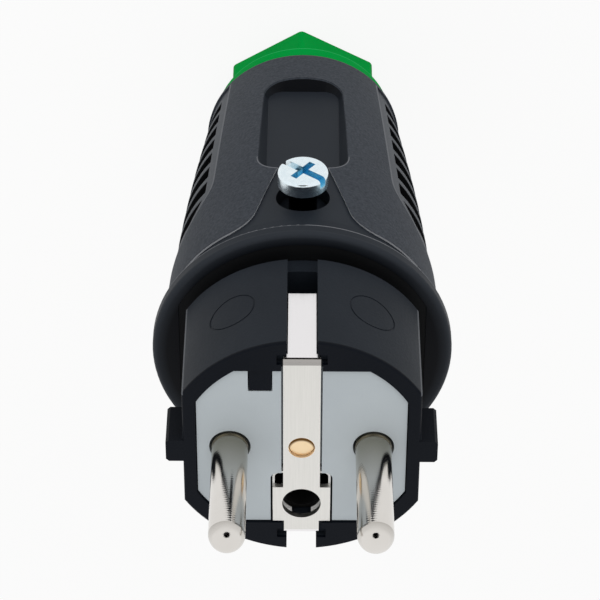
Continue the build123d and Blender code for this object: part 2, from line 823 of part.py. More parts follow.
with BuildPart() as screw_bush:
    with BuildSketch(Plane.XZ.offset(boss_floor)) as bush_ring:
        with Locations((0, z_screw)):
            Circle(bush_radius)
            Circle(screw_radius + contact_room, mode=Mode.SUBTRACT)
    extrude(amount=bush_length - contact_room)
keep(screw_bush, "screw_bush")
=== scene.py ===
import math

import bpy
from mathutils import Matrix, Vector

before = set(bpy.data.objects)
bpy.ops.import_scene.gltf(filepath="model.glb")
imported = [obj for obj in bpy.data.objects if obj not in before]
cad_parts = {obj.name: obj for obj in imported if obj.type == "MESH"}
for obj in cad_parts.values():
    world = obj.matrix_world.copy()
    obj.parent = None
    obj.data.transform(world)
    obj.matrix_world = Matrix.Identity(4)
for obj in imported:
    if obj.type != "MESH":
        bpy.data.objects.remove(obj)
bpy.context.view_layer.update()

# Housing: one hollow body moulded in black polyamide. The jacket has a spark-eroded grain; the bell
# round the screw, the neck, the label recess and the flange come from polished parts of the mould.


def linear(hex_colour):
    """Linear RGBA of an sRGB hex colour."""
    channels = [int(hex_colour[place:place + 2], 16) / 255 for place in (1, 3, 5)]
    curve = [c / 12.92 if c <= 0.04045 else ((c + 0.055) / 1.055) ** 2.4 for c in channels]
    return (*curve, 1.0)


def add_node(tree, kind, values=None, links=None, out=0, **settings):
    """Add one node with its settings, socket values and links, and return one of its outputs."""
    added = tree.nodes.new(kind)
    for name, value in settings.items():
        setattr(added, name, value)
    for socket, value in (values or {}).items():
        added.inputs[socket].default_value = value
    for socket, source in (links or {}).items():
        tree.links.new(source, added.inputs[socket])
    return added.outputs[out]


def start_material(name, **values):
    """A material with one shader; values are the shader's own sockets, with _ for a space."""
    material = bpy.data.materials.new(name)
    material.use_nodes = True
    shader = material.node_tree.nodes["Principled BSDF"]
    for socket, value in values.items():
        shader.inputs[socket.replace("_", " ")].default_value = value
    return material, material.node_tree, shader


def connect(tree, shader, **sources):
    """Link node outputs to the shader's sockets, with _ for a space."""
    for socket, source in sources.items():
        tree.links.new(source, shader.inputs[socket.replace("_", " ")])


def dress(material, *nodes):
    """Put a material on CAD nodes."""
    for node in nodes:
        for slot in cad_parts[node].material_slots:
            slot.material = material


# In metres: the CAD's taper, steps, grips, label recess and flange, and the painted highlights and
# painted shade that are drawn on them.
jacket_rear, jacket_front = 0.0098, 0.0572
jacket_rear_radius, jacket_swell, jacket_curve = 0.0143, 0.0079, -0.0030
step_middle, step_half = 0.000145, 0.000115
step_floor, ridge_floor = 0.00026, 0.00042
step_line_middle, step_line_half = 0.0497, 0.0081
grip_middle, grip_half, grip_side = 0.03185, 0.02065, 0.0110
grip_rear, grip_bend, grip_front = 0.0114, 0.0425, 0.0515
grip_rear_x, grip_bend_x, grip_front_x = 0.01098, 0.01278, 0.01938
grip_bend_ease, grip_line_half = 0.0022, 0.00012
label_rear, label_front, label_half_width, label_corner = 0.0193, 0.0427, 0.00515, 0.0024
label_rear_floor, label_front_floor, label_tilt = -0.01373, -0.01496, 0.0526
label_draft = math.tan(math.radians(30))
label_line_start, label_line, label_line_half = 0.0400, 0.00009, 0.00009
label_shade, label_light, label_foot = 0.0192, 0.0224, 0.00005
flange_edge, flange_edge_half, flange_edge_radius = 0.0607, 0.0002, 0.0203
flange_face, flange_dark_radius, flange_light_radius = 0.0620, 0.0186, 0.0204
grain_pitch, grain_depth = 0.00040, 0.00006
cloud_pitch = 0.009
grain_rough, polish_rough, cloud_rough = 0.55, 0.40, 0.10
grain_strength, polish_strength = 1.0, 0.12

# Glass-filled polyamide: a dull even grain, darker and smoother where the mould was polished.
# Painted shade makes it nearly black in the grip slots and on the label's rear wall, and darkens the
# flange's face next to the nose. Painted highlights lie on the grip ribs, along the step and the
# edges, and on the flange's face towards its rim.
# The grain, here and on the other plastics, is drawn coarser than the real one, so that it shows.
jacket_black, tree, shader = start_material(
    "black_polyamide_spark_grain", IOR=1.53, Specular_IOR_Level=0.08
)

# Numbered sockets: a map range takes 1 to 2 over to 3 to 4, and a colour mix blends 6 and 7 by 0.
coords = add_node(tree, "ShaderNodeTexCoord", out="Object")
x, y, z = add_node(tree, "ShaderNodeSeparateXYZ", links={0: coords}).node.outputs
across = add_node(tree, "ShaderNodeCombineXYZ", links={0: x, 1: y})
radius = add_node(tree, "ShaderNodeVectorMath", links={0: across}, out=1, operation="LENGTH")
side = add_node(tree, "ShaderNodeMath", links={0: x}, operation="ABSOLUTE")
along = add_node(tree, "ShaderNodeMapRange", {1: jacket_rear, 2: jacket_front}, {0: z})
slope = add_node(
    tree, "ShaderNodeMath", {1: jacket_curve, 2: jacket_swell}, {0: along}, operation="MULTIPLY_ADD"
)
jacket = add_node(
    tree, "ShaderNodeMath", {2: jacket_rear_radius}, {0: slope, 1: along}, operation="MULTIPLY_ADD"
)
sunk = add_node(tree, "ShaderNodeMath", links={0: jacket, 1: radius}, operation="SUBTRACT")
low = add_node(tree, "ShaderNodeMath", {1: step_floor}, {0: sunk}, operation="GREATER_THAN")

# Masks of the grips, the polished faces and the grip slots
flank = add_node(tree, "ShaderNodeMath", {1: grip_side}, {0: side}, operation="GREATER_THAN")
grip_span = add_node(tree, "ShaderNodeMath", {1: grip_middle, 2: grip_half}, {0: z}, operation="COMPARE")
in_grip = add_node(tree, "ShaderNodeMath", links={0: flank, 1: grip_span}, operation="MULTIPLY")
off_grip = add_node(tree, "ShaderNodeMath", {0: 1.0}, {1: in_grip}, operation="SUBTRACT")
bell = add_node(tree, "ShaderNodeMath", links={0: low, 1: off_grip}, operation="MULTIPLY")
collar = add_node(tree, "ShaderNodeMath", {1: jacket_front}, {0: z}, operation="GREATER_THAN")
smooth = add_node(tree, "ShaderNodeMath", links={0: bell, 1: collar}, operation="MAXIMUM")
face = add_node(tree, "ShaderNodeMath", {1: flange_face}, {0: z}, operation="GREATER_THAN")
ridge = add_node(tree, "ShaderNodeMath", links={0: low, 1: in_grip}, operation="MULTIPLY")
deep = add_node(tree, "ShaderNodeMath", {1: ridge_floor}, {0: sunk}, operation="GREATER_THAN")
in_slot = add_node(tree, "ShaderNodeMath", links={0: deep, 1: in_grip}, operation="MULTIPLY")

# Painted highlights: on the jacket's step, along the grips, round the label's front end and on the flange
step = add_node(tree, "ShaderNodeMath", {1: step_middle, 2: step_half}, {0: sunk}, operation="COMPARE")
step_span = add_node(
    tree, "ShaderNodeMath", {1: step_line_middle, 2: step_line_half}, {0: z}, operation="COMPARE"
)
step_line = add_node(tree, "ShaderNodeMath", links={0: step, 1: step_span}, operation="MULTIPLY")
straight_x = add_node(
    tree,
    "ShaderNodeMapRange",
    {1: grip_rear, 2: grip_bend, 3: grip_rear_x, 4: grip_bend_x},
    {0: z},
    clamp=False,
)
flare_x = add_node(
    tree,
    "ShaderNodeMapRange",
    {1: grip_bend, 2: grip_front, 3: grip_bend_x, 4: grip_front_x},
    {0: z},
    clamp=False,
)
line_x = add_node(
    tree, "ShaderNodeMath", {2: grip_bend_ease}, {0: straight_x, 1: flare_x}, operation="SMOOTH_MAX"
)
beside = add_node(tree, "ShaderNodeMath", {2: grip_line_half}, {0: side, 1: line_x}, operation="COMPARE")
grip_line = add_node(tree, "ShaderNodeMath", links={0: beside, 1: grip_span}, operation="MULTIPLY")
label_floor = add_node(
    tree,
    "ShaderNodeMapRange",
    {1: label_rear, 2: label_front, 3: label_rear_floor, 4: label_front_floor},
    {0: z},
    clamp=False,
)
over_floor = add_node(tree, "ShaderNodeMath", links={0: label_floor, 1: y}, operation="SUBTRACT")
level_z = add_node(tree, "ShaderNodeMath", {1: label_tilt}, {0: over_floor, 2: z}, operation="MULTIPLY_ADD")
past_end = add_node(
    tree, "ShaderNodeMath", {1: label_front - label_corner}, {0: level_z}, operation="SUBTRACT"
)
past_side = add_node(
    tree, "ShaderNodeMath", {1: label_half_width - label_corner}, {0: side}, operation="SUBTRACT"
)
end_reach = add_node(tree, "ShaderNodeMath", {1: 0.0}, {0: past_end}, operation="MAXIMUM")
side_reach = add_node(tree, "ShaderNodeMath", {1: 0.0}, {0: past_side}, operation="MAXIMUM")
from_corner = add_node(tree, "ShaderNodeCombineXYZ", links={0: side_reach, 1: end_reach})
reach = add_node(tree, "ShaderNodeVectorMath", links={0: from_corner}, out=1, operation="LENGTH")
wall_reach = add_node(
    tree, "ShaderNodeMath", {1: label_draft, 2: label_corner}, {0: over_floor}, operation="MULTIPLY_ADD"
)
past_rim = add_node(tree, "ShaderNodeMath", links={0: reach, 1: wall_reach}, operation="SUBTRACT")
at_rim = add_node(
    tree, "ShaderNodeMath", {1: label_line, 2: label_line_half}, {0: past_rim}, operation="COMPARE"
)
front_end = add_node(tree, "ShaderNodeMath", {1: label_line_start}, {0: z}, operation="GREATER_THAN")
label_rim = add_node(tree, "ShaderNodeMath", links={0: at_rim, 1: front_end}, operation="MULTIPLY")
rim = add_node(tree, "ShaderNodeMath", {1: flange_edge, 2: flange_edge_half}, {0: z}, operation="COMPARE")
outside = add_node(tree, "ShaderNodeMath", {1: flange_edge_radius}, {0: radius}, operation="GREATER_THAN")
rim_line = add_node(tree, "ShaderNodeMath", links={0: rim, 1: outside}, operation="MULTIPLY")
body_lines = add_node(tree, "ShaderNodeMath", links={0: rim_line, 1: label_rim}, operation="MAXIMUM")
edges = add_node(tree, "ShaderNodeMath", links={0: body_lines, 1: grip_line}, operation="MAXIMUM")

# Colours, from the grain up to the painted highlights
grain = add_node(
    tree,
    "ShaderNodeTexNoise",
    {"Scale": 1 / grain_pitch, "Detail": 2.5, "Roughness": 0.65},
    {"Vector": coords},
)
cloud = add_node(tree, "ShaderNodeTexNoise", {"Scale": 1 / cloud_pitch, "Detail": 3.0}, {"Vector": coords})
grained = add_node(
    tree,
    "ShaderNodeMix",
    {6: linear("#1c1f24"), 7: linear("#4e535b")},
    {0: grain},
    out=2,
    data_type="RGBA",
)
polished = add_node(
    tree,
    "ShaderNodeMix",
    {6: linear("#20242a"), 7: linear("#2a2f36")},
    {0: cloud},
    out=2,
    data_type="RGBA",
)
# Painted shade on the flange's face next to the nose, fading to painted light towards its rim.
outward = add_node(
    tree, "ShaderNodeMapRange", {1: flange_dark_radius, 2: flange_light_radius}, {0: radius}
)
flange_shade_to_light = add_node(
    tree,
    "ShaderNodeMix",
    {6: linear("#06080d"), 7: linear("#2c3036")},
    {0: outward},
    out=2,
    data_type="RGBA",
)
fronted = add_node(
    tree, "ShaderNodeMix", links={0: face, 6: polished, 7: flange_shade_to_light}, out=2, data_type="RGBA"
)
surface = add_node(
    tree, "ShaderNodeMix", links={0: smooth, 6: grained, 7: fronted}, out=2, data_type="RGBA"
)
# Painted highlight: the grip's ribs are lighter, as where they catch the light.
rib_highlighted = add_node(
    tree, "ShaderNodeMix", {7: linear("#5a5d62")}, {0: ridge, 6: surface}, out=2, data_type="RGBA"
)
# Painted shade: the grip slots are nearly black.
slot_shaded = add_node(
    tree, "ShaderNodeMix", {7: linear("#08090b")}, {0: in_slot, 6: rib_highlighted}, out=2, data_type="RGBA"
)
# Painted shade on the label recess's rear wall.
shade = add_node(tree, "ShaderNodeMapRange", {1: label_light, 2: label_shade}, {0: z})
off_floor = add_node(tree, "ShaderNodeMath", {1: label_foot}, {0: over_floor}, operation="GREATER_THAN")
label_wall = add_node(tree, "ShaderNodeMath", links={0: off_floor, 1: bell}, operation="MULTIPLY")
rear_wall = add_node(tree, "ShaderNodeMath", links={0: shade, 1: label_wall}, operation="MULTIPLY")
shaded = add_node(
    tree, "ShaderNodeMix", {7: linear("#0a0c10")}, {0: rear_wall, 6: slot_shaded}, out=2, data_type="RGBA"
)
# Painted highlights along the grips' edges, the label's front rim and the flange's rear edge.
painted_light = add_node(
    tree, "ShaderNodeMix", {7: linear("#6a6c71")}, {0: edges, 6: shaded}, out=2, data_type="RGBA"
)
# A brighter painted highlight on the wall of the jacket's step.
highlight_lined = add_node(
    tree, "ShaderNodeMix", {7: linear("#c4c6cb")}, {0: step_line, 6: painted_light}, out=2, data_type="RGBA"
)
sheen = add_node(tree, "ShaderNodeMapRange", {3: grain_rough, 4: polish_rough}, {0: smooth})
rough = add_node(tree, "ShaderNodeMath", {1: cloud_rough}, {0: cloud, 2: sheen}, operation="MULTIPLY_ADD")
height = add_node(tree, "ShaderNodeMapRange", {3: grain_strength, 4: polish_strength}, {0: smooth})
relief = add_node(tree, "ShaderNodeBump", {"Distance": grain_depth}, {"Strength": height, "Height": grain})
connect(tree, shader, Base_Color=highlight_lined, Roughness=rough, Normal=relief)
dress(jacket_black, "housing")

# Gland nut: moulded in green polyamide, a hexagon with a round collar and a hollow spigot.
# It screws into the housing and presses the cage and its rubber sleeve on to the cable.
flow_pitch = 0.006
nut_grain_pitch, nut_grain_depth = 0.0003, 0.00002
collar_edge_radius, collar_edge_top = 0.01275, 0.0072
nut_sheen, nut_dull = 0.36, 0.50

# Through-coloured polyamide, satin from a plain mould, with faint flow clouds and a paler painted
# highlight round the collar's edge.
nut_green, tree, shader = start_material("green_polyamide_satin", IOR=1.53, Specular_IOR_Level=0.01)
coords = add_node(tree, "ShaderNodeTexCoord", out="Object")
flow = add_node(tree, "ShaderNodeTexNoise", {"Scale": 1 / flow_pitch, "Detail": 2.0}, {"Vector": coords})
skin = add_node(
    tree, "ShaderNodeTexNoise", {"Scale": 1 / nut_grain_pitch, "Detail": 1.0}, {"Vector": coords}
)
x, y, z = add_node(tree, "ShaderNodeSeparateXYZ", links={0: coords}).node.outputs
across = add_node(tree, "ShaderNodeCombineXYZ", links={0: x, 1: y})
radius = add_node(tree, "ShaderNodeVectorMath", links={0: across}, out=1, operation="LENGTH")
# Painted highlight round the collar's outer edge.
rear = add_node(tree, "ShaderNodeMath", {1: collar_edge_top}, {0: z}, operation="LESS_THAN")
outer = add_node(tree, "ShaderNodeMath", {1: collar_edge_radius}, {0: radius}, operation="GREATER_THAN")
painted_light = add_node(tree, "ShaderNodeMath", links={0: outer, 1: rear}, operation="MULTIPLY")
clouded = add_node(
    tree, "ShaderNodeMix", {6: linear("#00963c"), 7: linear("#00a243")}, {0: flow}, out=2, data_type="RGBA"
)
green = add_node(
    tree, "ShaderNodeMix", {7: linear("#36b96c")}, {0: painted_light, 6: clouded}, out=2, data_type="RGBA"
)
satin = add_node(tree, "ShaderNodeMapRange", {3: nut_sheen, 4: nut_dull}, {0: skin})
relief = add_node(tree, "ShaderNodeBump", {"Strength": 0.5, "Distance": nut_grain_depth}, {"Height": skin})
connect(tree, shader, Base_Color=green, Roughness=satin, Normal=relief)
dress(nut_green, "gland_nut")

# Clamp cage: a slotted sleeve moulded in natural polyamide, milky and slightly waxy.
# It lies loose in the gland, with its tips in the nut's conical seat.
cage_cloud_pitch = 0.004
cage_sheen, cage_dull = 0.38, 0.48
cage_white, tree, shader = start_material("natural_polyamide", IOR=1.53, Subsurface_Weight=0.1)
coords = add_node(tree, "ShaderNodeTexCoord", out="Object")
cloud = add_node(
    tree, "ShaderNodeTexNoise", {"Scale": 1 / cage_cloud_pitch, "Detail": 2.0}, {"Vector": coords}
)
milky = add_node(
    tree, "ShaderNodeMix", {6: linear("#c4c3bb"), 7: linear("#d3d2cb")}, {0: cloud}, out=2, data_type="RGBA"
)
waxy = add_node(tree, "ShaderNodeMapRange", {3: cage_sheen, 4: cage_dull}, {0: cloud})
connect(tree, shader, Base_Color=milky, Roughness=waxy)
dress(cage_white, "clamp_cage")

# Seals: the sleeve that closes on the cable and the flat gasket in the flange's mouth,
# both compression-moulded in black nitrile rubber and held by the pieces round them.
rubber_pitch, rubber_depth = 0.0005, 0.00003
rubber_sheen, rubber_dull = 0.70, 0.85

# Nitrile rubber: a dull, slightly dusty black.
rubber_black, tree, shader = start_material("black_nitrile_rubber", IOR=1.52, Specular_IOR_Level=0.15)
coords = add_node(tree, "ShaderNodeTexCoord", out="Object")
skin = add_node(tree, "ShaderNodeTexNoise", {"Scale": 1 / rubber_pitch, "Detail": 2.0}, {"Vector": coords})
dusty = add_node(
    tree, "ShaderNodeMix", {6: linear("#060708"), 7: linear("#0d0e10")}, {0: skin}, out=2, data_type="RGBA"
)
dull = add_node(tree, "ShaderNodeMapRange", {3: rubber_sheen, 4: rubber_dull}, {0: skin})
relief = add_node(tree, "ShaderNodeBump", {"Strength": 0.4, "Distance": rubber_depth}, {"Height": skin})
connect(tree, shader, Base_Color=dusty, Roughness=dull, Normal=relief)
dress(rubber_black, "gland_seal", "insert_seal")

# Insert: the nose and skirt that carry the contacts, moulded in black polyamide in a plain mould.
# It slides into the housing and is held there by the body screw.
rim_face = 0.08215
lug_side = 0.01585
corner_x, corner_y = 0.0155, -0.0092
insert_grain_pitch, insert_grain_depth = 0.00032, 0.000025
insert_cloud_pitch = 0.012
insert_sheen, insert_dull = 0.44, 0.58

# The same black plastic, smoother: a fine satin on the nose; the rim's face and the lugs are polished,
# and painted darker as shade; a painted highlight lies where the round meets the flats.
insert_black, tree, shader = start_material("black_polyamide_satin", IOR=1.53, Specular_IOR_Level=0.08)
coords = add_node(tree, "ShaderNodeTexCoord", out="Object")
x, y, z = add_node(tree, "ShaderNodeSeparateXYZ", links={0: coords}).node.outputs
skin = add_node(
    tree, "ShaderNodeTexNoise", {"Scale": 1 / insert_grain_pitch, "Detail": 1.5}, {"Vector": coords}
)
cloud = add_node(
    tree, "ShaderNodeTexNoise", {"Scale": 1 / insert_cloud_pitch, "Detail": 3.0}, {"Vector": coords}
)
satin_black = add_node(
    tree, "ShaderNodeMix", {6: linear("#191d23"), 7: linear("#272c33")}, {0: cloud}, out=2, data_type="RGBA"
)
face = add_node(tree, "ShaderNodeMath", {1: rim_face}, {0: z}, operation="GREATER_THAN")
side = add_node(tree, "ShaderNodeMath", links={0: x}, operation="ABSOLUTE")
lug = add_node(tree, "ShaderNodeMath", {1: lug_side}, {0: side}, operation="GREATER_THAN")
polished = add_node(tree, "ShaderNodeMath", links={0: face, 1: lug}, operation="MAXIMUM")
# Polished, and painted shade: the rim's face and the lugs are darker.
polished_and_shaded = add_node(
    tree, "ShaderNodeMix", {7: linear("#0a0e15")}, {0: polished, 6: satin_black}, out=2, data_type="RGBA"
)
# Painted highlight where the round meets the flats.
at_flat = add_node(tree, "ShaderNodeMath", {1: corner_x}, {0: side}, operation="GREATER_THAN")
at_round = add_node(tree, "ShaderNodeMath", {1: corner_y}, {0: y}, operation="LESS_THAN")
corner = add_node(tree, "ShaderNodeMath", links={0: at_flat, 1: at_round}, operation="MULTIPLY")
highlight_lined = add_node(
    tree, "ShaderNodeMix", {7: linear("#5a5d62")}, {0: corner, 6: polished_and_shaded}, out=2, data_type="RGBA"
)
satin = add_node(tree, "ShaderNodeMapRange", {3: insert_sheen, 4: insert_dull}, {0: skin})
relief = add_node(tree, "ShaderNodeBump", {"Strength": 0.7, "Distance": insert_grain_depth}, {"Height": skin})
connect(tree, shader, Base_Color=highlight_lined, Roughness=satin, Normal=relief)
dress(insert_black, "insert_body")

# Face plate: moulded in light grey polyamide and let into the nose's rim.
# The earth strip lies across it, and its rivet holds it down.
plate_cloud_pitch = 0.007
plate_skin_pitch, plate_skin_depth = 0.00035, 0.000015
plate_sheen, plate_dull = 0.46, 0.56

# Light grey polyamide: a pale even satin with faint clouds.
plate_grey, tree, shader = start_material("light_grey_polyamide", IOR=1.53, Specular_IOR_Level=0.3)
coords = add_node(tree, "ShaderNodeTexCoord", out="Object")
cloud = add_node(
    tree, "ShaderNodeTexNoise", {"Scale": 1 / plate_cloud_pitch, "Detail": 2.0}, {"Vector": coords}
)
skin = add_node(
    tree, "ShaderNodeTexNoise", {"Scale": 1 / plate_skin_pitch, "Detail": 1.0}, {"Vector": coords}
)
grey = add_node(
    tree, "ShaderNodeMix", {6: linear("#b9c1c6"), 7: linear("#c4ccd0")}, {0: cloud}, out=2, data_type="RGBA"
)
satin = add_node(tree, "ShaderNodeMapRange", {3: plate_sheen, 4: plate_dull}, {0: skin})
relief = add_node(tree, "ShaderNodeBump", {"Strength": 0.5, "Distance": plate_skin_depth}, {"Height": skin})
connect(tree, shader, Base_Color=grey, Roughness=satin, Normal=relief)
dress(plate_grey, "face_plate")

# Pins: turned in brass with their terminal pillars, rounded at the tip, then nickel-plated bright.
# The tool's rings are finer than a pixel, so they are drawn nearly half a millimetre apart.
ring_pitch, ring_depth = 0.00042, 0.000007
tip_start, tip_clear, tip_dull = 0.0990, 0.1004, 0.75
pin_root, pin_clear = 0.0836, 0.0908
root_dull, root_bright, root_rough = 0.0824, 0.0846, 0.35
smudge_pitch = 0.005
pin_sheen, pin_dull = 0.06, 0.13
# A wave texture of scale 1 turns through 20 radians in one metre. Its detail, at this many times the
# rings' own scale, is too fine to show and only softens them.
wave_rate, ring_softening = 20, 900.0

# Bright nickel: a warm silver mirror, with faint turning rings and soft smudges. Towards the root it
# turns olive-grey, a painted reflection of the grey plate, and dull; a duller grey ring lies where the
# tip begins.
pin_nickel, tree, shader = start_material("bright_nickel_on_brass", Metallic=1.0)
coords = add_node(tree, "ShaderNodeTexCoord", out="Object")
rings = add_node(
    tree,
    "ShaderNodeTexWave",
    {
        "Scale": 2 * math.pi / (wave_rate * ring_pitch),
        "Distortion": 0.6,
        "Detail": 1.0,
        "Detail Scale": ring_softening,
    },
    {"Vector": coords},
    out=1,
    bands_direction="Z",
)
smudge = add_node(tree, "ShaderNodeTexNoise", {"Scale": 1 / smudge_pitch, "Detail": 3.0}, {"Vector": coords})
silver = add_node(
    tree, "ShaderNodeMix", {6: linear("#d2cec8"), 7: linear("#dfdcd8")}, {0: smudge}, out=2, data_type="RGBA"
)
z = add_node(tree, "ShaderNodeSeparateXYZ", links={0: coords}, out="Z")
# Painted reflection of the grey plate: olive-grey towards the root.
clear = add_node(tree, "ShaderNodeMapRange", {1: pin_root, 2: pin_clear}, {0: z})
plate_reflected = add_node(
    tree, "ShaderNodeMix", {6: linear("#a5a194")}, {0: clear, 7: silver}, out=2, data_type="RGBA"
)
# A duller grey ring where the tip begins.
on_tip = add_node(tree, "ShaderNodeMath", {1: tip_start}, {0: z}, operation="GREATER_THAN")
fading = add_node(tree, "ShaderNodeMapRange", {1: tip_start, 2: tip_clear, 3: tip_dull, 4: 0.0}, {0: z})
tip_ring = add_node(tree, "ShaderNodeMath", links={0: on_tip, 1: fading}, operation="MULTIPLY")
ringed = add_node(
    tree, "ShaderNodeMix", {7: linear("#a9a59f")}, {0: tip_ring, 6: plate_reflected}, out=2, data_type="RGBA"
)
bright = add_node(tree, "ShaderNodeMapRange", {3: pin_sheen, 4: pin_dull}, {0: smudge})
dull_root = add_node(
    tree, "ShaderNodeMapRange", {1: root_dull, 2: root_bright, 3: root_rough, 4: 0.0}, {0: z}
)
rough = add_node(tree, "ShaderNodeMath", links={0: bright, 1: dull_root}, operation="MAXIMUM")
relief = add_node(tree, "ShaderNodeBump", {"Strength": 0.6, "Distance": ring_depth}, {"Height": rings})
connect(tree, shader, Base_Color=ringed, Roughness=rough, Normal=relief)
dress(pin_nickel, "left_pin", "right_pin")

# Earth strip: punched and folded from brass sheet, then nickel-plated satin. It lies in the plate's
# channel, folds back along both sides of the nose and hooks into it.
rolling_width, rolling_length, rolling_depth = 0.00018, 0.006, 0.000004
leg_side = 0.0148
bend_middle, bend_half = -0.01480, 0.00058
hole_radius, hole_rough = 0.00177, 0.5
strip_sheen, strip_dull, leg_polish = 0.30, 0.42, 0.20

# Satin nickel: a soft silver with rolling marks, drawn coarser than real ones so that they show.
# The legs are rubbed smoother than the face and carry a brighter painted reflection, the front bend a
# painted dark reflection, and the wall of the rivet's hole is painted pale as if lit.
sheet_nickel, tree, shader = start_material("satin_nickel_on_sheet_brass", Metallic=1.0)
coords = add_node(tree, "ShaderNodeTexCoord", out="Object")
stretched = add_node(
    tree,
    "ShaderNodeMapping",
    {"Scale": (1 / rolling_width, 1 / rolling_length, 1 / rolling_length)},
    {"Vector": coords},
)
rolled = add_node(tree, "ShaderNodeTexNoise", {"Scale": 1.0, "Detail": 2.0}, {"Vector": stretched})
x, y = add_node(tree, "ShaderNodeSeparateXYZ", links={0: coords}).node.outputs[:2]
from_middle = add_node(tree, "ShaderNodeMath", links={0: y}, operation="ABSOLUTE")
leg = add_node(tree, "ShaderNodeMath", {1: leg_side}, {0: from_middle}, operation="GREATER_THAN")
silver = add_node(
    tree, "ShaderNodeMix", {6: linear("#d5d4cf"), 7: linear("#e4e2de")}, {0: rolled}, out=2, data_type="RGBA"
)
# Painted reflection: the legs are brighter than the face.
painted_light = add_node(
    tree, "ShaderNodeMix", {7: linear("#ebe9ea")}, {0: leg, 6: silver}, out=2, data_type="RGBA"
)
# Painted dark reflection along the front bend.
bend = add_node(tree, "ShaderNodeMath", {1: bend_middle, 2: bend_half}, {0: y}, operation="COMPARE")
bend_dark_reflection = add_node(
    tree, "ShaderNodeMix", {7: linear("#a5a29f")}, {0: bend, 6: painted_light}, out=2, data_type="RGBA"
)
across = add_node(tree, "ShaderNodeCombineXYZ", links={0: x, 1: y})
radius = add_node(tree, "ShaderNodeVectorMath", links={0: across}, out=1, operation="LENGTH")
# Painted light: the wall of the rivet's hole is pale, as if lit.
hole = add_node(tree, "ShaderNodeMath", {1: hole_radius}, {0: radius}, operation="LESS_THAN")
hole_wall_lit = add_node(
    tree, "ShaderNodeMix", {7: linear("#fbe6c4")}, {0: hole, 6: bend_dark_reflection}, out=2, data_type="RGBA"
)
dullness = add_node(tree, "ShaderNodeMapRange", {3: strip_sheen, 4: strip_dull}, {0: rolled})
leg_satin = add_node(
    tree, "ShaderNodeMath", {1: -leg_polish}, {0: leg, 2: dullness}, operation="MULTIPLY_ADD"
)
satin = add_node(tree, "ShaderNodeMath", {1: hole_rough}, {0: hole, 2: leg_satin}, operation="MULTIPLY_ADD")
relief = add_node(tree, "ShaderNodeBump", {"Strength": 0.5, "Distance": rolling_depth}, {"Height": rolled})
connect(tree, shader, Base_Color=hole_wall_lit, Roughness=satin, Normal=relief)
dress(sheet_nickel, "earth_strip")

# Earth socket: a folded box of nickel-plated brass sheet with a spring sleeve in it, which stands in
# the insert behind the strip's foot.
shade_top, shade_full = 0.0807, 0.0805

# Matt nickel: pale from the plating bath, and so scattering that only a part of it is metallic here.
# Below the mouth the socket fades to black as painted shade.
socket_nickel, tree, shader = start_material("matt_nickel_painted_shade_inside", Metallic=0.2, Roughness=0.9)
coords = add_node(tree, "ShaderNodeTexCoord", out="Object")
z = add_node(tree, "ShaderNodeSeparateXYZ", links={0: coords}, out="Z")
# Painted shade: black inside the socket below its mouth.
inward = add_node(tree, "ShaderNodeMapRange", {1: shade_full, 2: shade_top}, {0: z})
fading = add_node(
    tree, "ShaderNodeMix", {6: linear("#0b0a0a"), 7: linear("#fbfaf8")}, {0: inward}, out=2, data_type="RGBA"
)
connect(tree, shader, Base_Color=fading)
dress(socket_nickel, "earth_socket")

# Turned brass: the rivet that holds the strip, the bush for the body screw and the earth pillar.
# All are left bare, with facing rings round the plug's axis, drawn coarser than real ones. A painted
# shadow lies dark brown on the rivet's near edge, and the same brown covers the other two all over.
facing_pitch, facing_depth = 0.0002, 0.000003
tarnish_pitch = 0.003
brass_sheen, brass_dull = 0.30, 0.44
shadow_y, shadow_start, shadow_full = 0.0008, 0.00152, 0.00182
bare_brass, tree, shader = start_material("bare_turned_brass", Metallic=1.0)
coords = add_node(tree, "ShaderNodeTexCoord", out="Object")
facing = add_node(
    tree,
    "ShaderNodeTexWave",
    {"Scale": 2 * math.pi / (wave_rate * facing_pitch), "Distortion": 0.4},
    {"Vector": coords},
    out=1,
    wave_type="RINGS",
    rings_direction="Z",
)
tarnish = add_node(
    tree, "ShaderNodeTexNoise", {"Scale": 1 / tarnish_pitch, "Detail": 3.0}, {"Vector": coords}
)
golden = add_node(
    tree, "ShaderNodeMix", {6: linear("#ecd0a4"), 7: linear("#f8e2c0")}, {0: tarnish}, out=2, data_type="RGBA"
)
# Painted shadow on the rivet's near edge; its brown also covers the bush and the pillar.
from_shadow = add_node(
    tree, "ShaderNodeMapping", {"Location": (0, -shadow_y, 0), "Scale": (1, 1, 0)}, {"Vector": coords}
)
reach = add_node(tree, "ShaderNodeVectorMath", links={0: from_shadow}, out=1, operation="LENGTH")
shadow_and_brown = add_node(tree, "ShaderNodeMapRange", {1: shadow_start, 2: shadow_full}, {0: reach})
shadowed_and_brown = add_node(
    tree, "ShaderNodeMix", {7: linear("#5f4322")}, {0: shadow_and_brown, 6: golden}, out=2, data_type="RGBA"
)
satin = add_node(tree, "ShaderNodeMapRange", {3: brass_sheen, 4: brass_dull}, {0: tarnish})
relief = add_node(tree, "ShaderNodeBump", {"Strength": 0.5, "Distance": facing_depth}, {"Height": facing})
connect(tree, shader, Base_Color=shadowed_and_brown, Roughness=satin, Normal=relief)
dress(bare_brass, "earth_rivet", "screw_bush", "earth_terminal")

